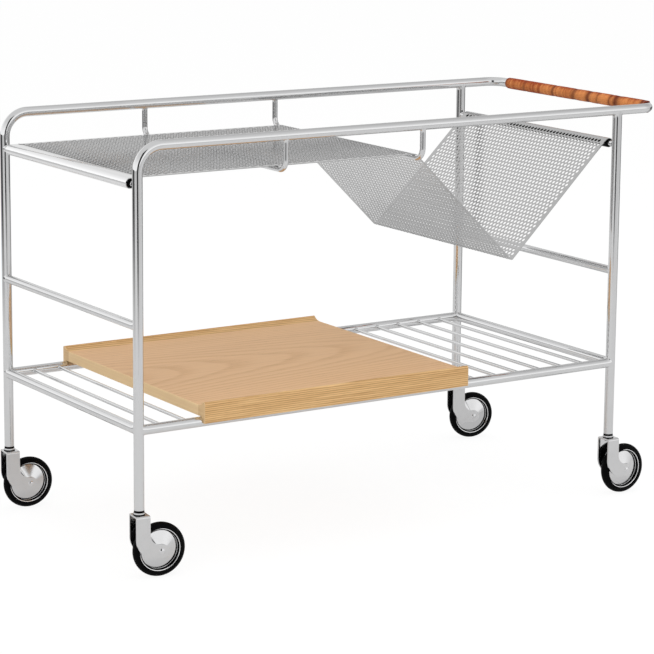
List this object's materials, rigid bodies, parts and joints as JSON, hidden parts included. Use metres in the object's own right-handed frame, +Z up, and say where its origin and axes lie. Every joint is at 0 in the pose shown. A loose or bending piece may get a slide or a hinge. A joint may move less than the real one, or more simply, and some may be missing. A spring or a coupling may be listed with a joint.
{
  "type": "storage trolley",
  "caption": "Tube-frame storage trolley on swivel casters with a perforated sheet shelf folded into a magazine pocket, a wire shelf, a sliding oak tray and a leather-wrapped handle",
  "frame": {"origin": "on the floor, under the middle of the frame between the left leg axes and the handle axis", "axes": "+X along the trolley towards the handle, +Y from front to rear, +Z up"},
  "size_m": [0.8891, 0.4279, 0.5928],
  "materials": {
    "chrome_tube": "polished chrome plate",
    "grey_sheet": "light grey satin powder coat on perforated sheet",
    "oak": "clear matt oil",
    "tan_leather": "waxed cognac leather",
    "caster_chrome": "bright zinc chrome",
    "bright_steel": "bright turned steel",
    "black_plastic": "moulded black",
    "black_tyre": "smooth black rubber"
  },
  "bodies": {
    "frame": {"main_hoop": "chrome_tube", "right_front_leg": "chrome_tube", "right_rear_leg": "chrome_tube", "front_bottom_rail": "chrome_tube", "rear_bottom_rail": "chrome_tube", "bottom_shelf_wires": "chrome_tube", "sheet_shelf": "grey_sheet", "handle_wrap": "tan_leather", "left_mid_crossbar": "chrome_tube", "left_bottom_crossbar": "chrome_tube", "left_shelf_rod": "chrome_tube", "right_mid_crossbar": "chrome_tube", "right_bottom_crossbar": "chrome_tube", "right_shelf_rod": "chrome_tube", "middle_hanger_rod": "chrome_tube", "pocket_hanger_rod": "chrome_tube", "left_front_roll_bush": "black_plastic", "left_rear_roll_bush": "black_plastic", "right_front_roll_bush": "black_plastic", "right_rear_roll_bush": "black_plastic", "front_left_caster_socket": "black_plastic", "front_left_caster_stem": "bright_steel", "front_left_caster_raceway": "black_plastic", "rear_left_caster_socket": "black_plastic", "rear_left_caster_stem": "bright_steel", "rear_left_caster_raceway": "black_plastic", "front_right_caster_socket": "black_plastic", "front_right_caster_stem": "bright_steel", "front_right_caster_raceway": "black_plastic", "rear_right_caster_socket": "black_plastic", "rear_right_caster_stem": "bright_steel", "rear_right_caster_raceway": "black_plastic"},
    "tray": {"tray_board": "oak", "tray_front_lip": "oak", "tray_rear_lip": "oak"},
    "front_left_swivel": {"front_left_caster_fork": "caster_chrome", "front_left_wheel_axle": "bright_steel"},
    "front_left_wheel": {"front_left_wheel_hub": "black_plastic", "front_left_wheel_tyre": "black_tyre", "front_left_wheel_trim_rings": "caster_chrome", "front_left_wheel_cover_discs": "caster_chrome"},
    "rear_left_swivel": {"rear_left_caster_fork": "caster_chrome", "rear_left_wheel_axle": "bright_steel"},
    "rear_left_wheel": {"rear_left_wheel_hub": "black_plastic", "rear_left_wheel_tyre": "black_tyre", "rear_left_wheel_trim_rings": "caster_chrome", "rear_left_wheel_cover_discs": "caster_chrome"},
    "front_right_swivel": {"front_right_caster_fork": "caster_chrome", "front_right_wheel_axle": "bright_steel"},
    "front_right_wheel": {"front_right_wheel_hub": "black_plastic", "front_right_wheel_tyre": "black_tyre", "front_right_wheel_trim_rings": "caster_chrome", "front_right_wheel_cover_discs": "caster_chrome"},
    "rear_right_swivel": {"rear_right_caster_fork": "caster_chrome", "rear_right_wheel_axle": "bright_steel"},
    "rear_right_wheel": {"rear_right_wheel_hub": "black_plastic", "rear_right_wheel_tyre": "black_tyre", "rear_right_wheel_trim_rings": "caster_chrome", "rear_right_wheel_cover_discs": "caster_chrome"}
  },
  "joints": [
    {"name": "tray_slide", "type": "slide", "parent": "frame", "child": "tray", "axis": [1, 0, 0], "range_m": [-0.086, 0.261]},
    {"name": "front_left_swivel_turn", "type": "hinge", "parent": "frame", "child": "front_left_swivel", "pos_m": [-0.435, -0.198, 0.0886], "axis": [0, 0, 1], "continuous": true},
    {"name": "front_left_wheel_roll", "type": "hinge", "parent": "front_left_swivel", "child": "front_left_wheel", "pos_m": [-0.40715, -0.20093, 0.0375], "axis": [0.1045, 0.9945, 0], "continuous": true},
    {"name": "rear_left_swivel_turn", "type": "hinge", "parent": "frame", "child": "rear_left_swivel", "pos_m": [-0.435, 0.198, 0.0886], "axis": [0, 0, 1], "continuous": true},
    {"name": "rear_left_wheel_roll", "type": "hinge", "parent": "rear_left_swivel", "child": "rear_left_wheel", "pos_m": [-0.40707, 0.19605, 0.0375], "axis": [0.0698, 0.9976, 0], "continuous": true},
    {"name": "front_right_swivel_turn", "type": "hinge", "parent": "frame", "child": "front_right_swivel", "pos_m": [0.365, -0.198, 0.0886], "axis": [0, 0, 1], "continuous": true},
    {"name": "front_right_wheel_roll", "type": "hinge", "parent": "front_right_swivel", "child": "front_right_wheel", "pos_m": [0.393, -0.198, 0.0375], "axis": [0, 1, 0], "continuous": true},
    {"name": "rear_right_swivel_turn", "type": "hinge", "parent": "frame", "child": "rear_right_swivel", "pos_m": [0.365, 0.198, 0.0886], "axis": [0, 0, 1], "continuous": true},
    {"name": "rear_right_wheel_roll", "type": "hinge", "parent": "rear_right_swivel", "child": "rear_right_wheel", "pos_m": [0.39249, 0.19266, 0.0375], "axis": [0.1908, 0.9816, 0], "continuous": true}
  ]
}
